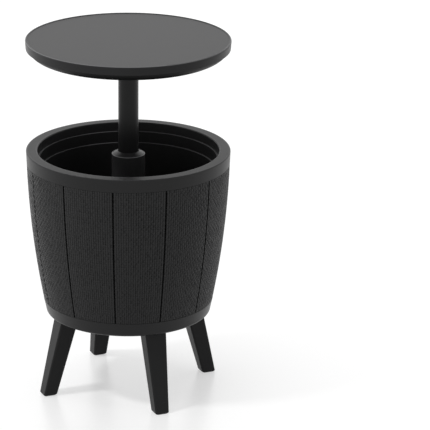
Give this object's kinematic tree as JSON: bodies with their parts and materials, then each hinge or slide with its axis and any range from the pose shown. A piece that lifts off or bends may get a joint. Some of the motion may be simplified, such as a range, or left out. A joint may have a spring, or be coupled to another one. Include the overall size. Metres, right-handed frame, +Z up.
{
  "type": "cooler table",
  "caption": "Round insulated tub on splayed legs, with a table top on a central pole that lowers to close the tub and locks with a quarter turn.",
  "frame": {"origin": "on the floor, under the middle of the pole", "axes": "+Z up along the pole, -Y towards the front leg, +X towards the right leg"},
  "size_m": [0.485, 0.485, 0.8645],
  "materials": {
    "woven_resin": "fine woven-look moulding, matte",
    "shell_resin": "fine grained, matte",
    "liner_resin": "smooth, satin",
    "leg_resin": "fine grained, matte",
    "lid_resin": "fine grained, matte",
    "pole_resin": "smooth, satin",
    "inner_resin": "smooth, satin",
    "seal_rubber": "soft, matte",
    "screw_steel": "zinc plated"
  },
  "bodies": {
    "tub": {"outer_shell": "woven_resin", "inner_liner": "liner_resin", "column_tube": "pole_resin", "column_gasket": "seal_rubber", "column_collar": "pole_resin", "column_screws": "screw_steel", "leg_right": "leg_resin", "leg_back": "leg_resin", "leg_left": "leg_resin", "leg_front": "leg_resin", "leg_screws": "screw_steel", "drain_fitting": "shell_resin", "drain_gasket": "seal_rubber", "drain_nut": "shell_resin"},
    "guide": {"pole_guide": "inner_resin"},
    "table": {"guide_clip": "screw_steel", "lock_ring": "inner_resin", "pole_tube": "pole_resin", "pole_flange": "inner_resin", "lock_ring_screws": "screw_steel", "pole_flange_screws": "screw_steel", "lid_underside": "lid_resin", "table_top": "lid_resin", "hub_screws": "screw_steel", "lid_screws": "screw_steel"},
    "plug": {"drain_plug": "shell_resin", "drain_plug_seal": "seal_rubber"}
  },
  "joints": [
    {"name": "lift", "type": "slide", "parent": "tub", "child": "guide", "axis": [0, 0, 1], "range_m": [-0.232, 0]},
    {"name": "twist", "type": "hinge", "parent": "guide", "child": "table", "pos_m": [0, 0, 0.5], "axis": [0, 0, 1], "range_deg": [0, 90]},
    {"name": "drain_pull", "type": "slide", "parent": "tub", "child": "plug", "axis": [0, 0, -1], "range_m": [0, 0.03]}
  ]
}
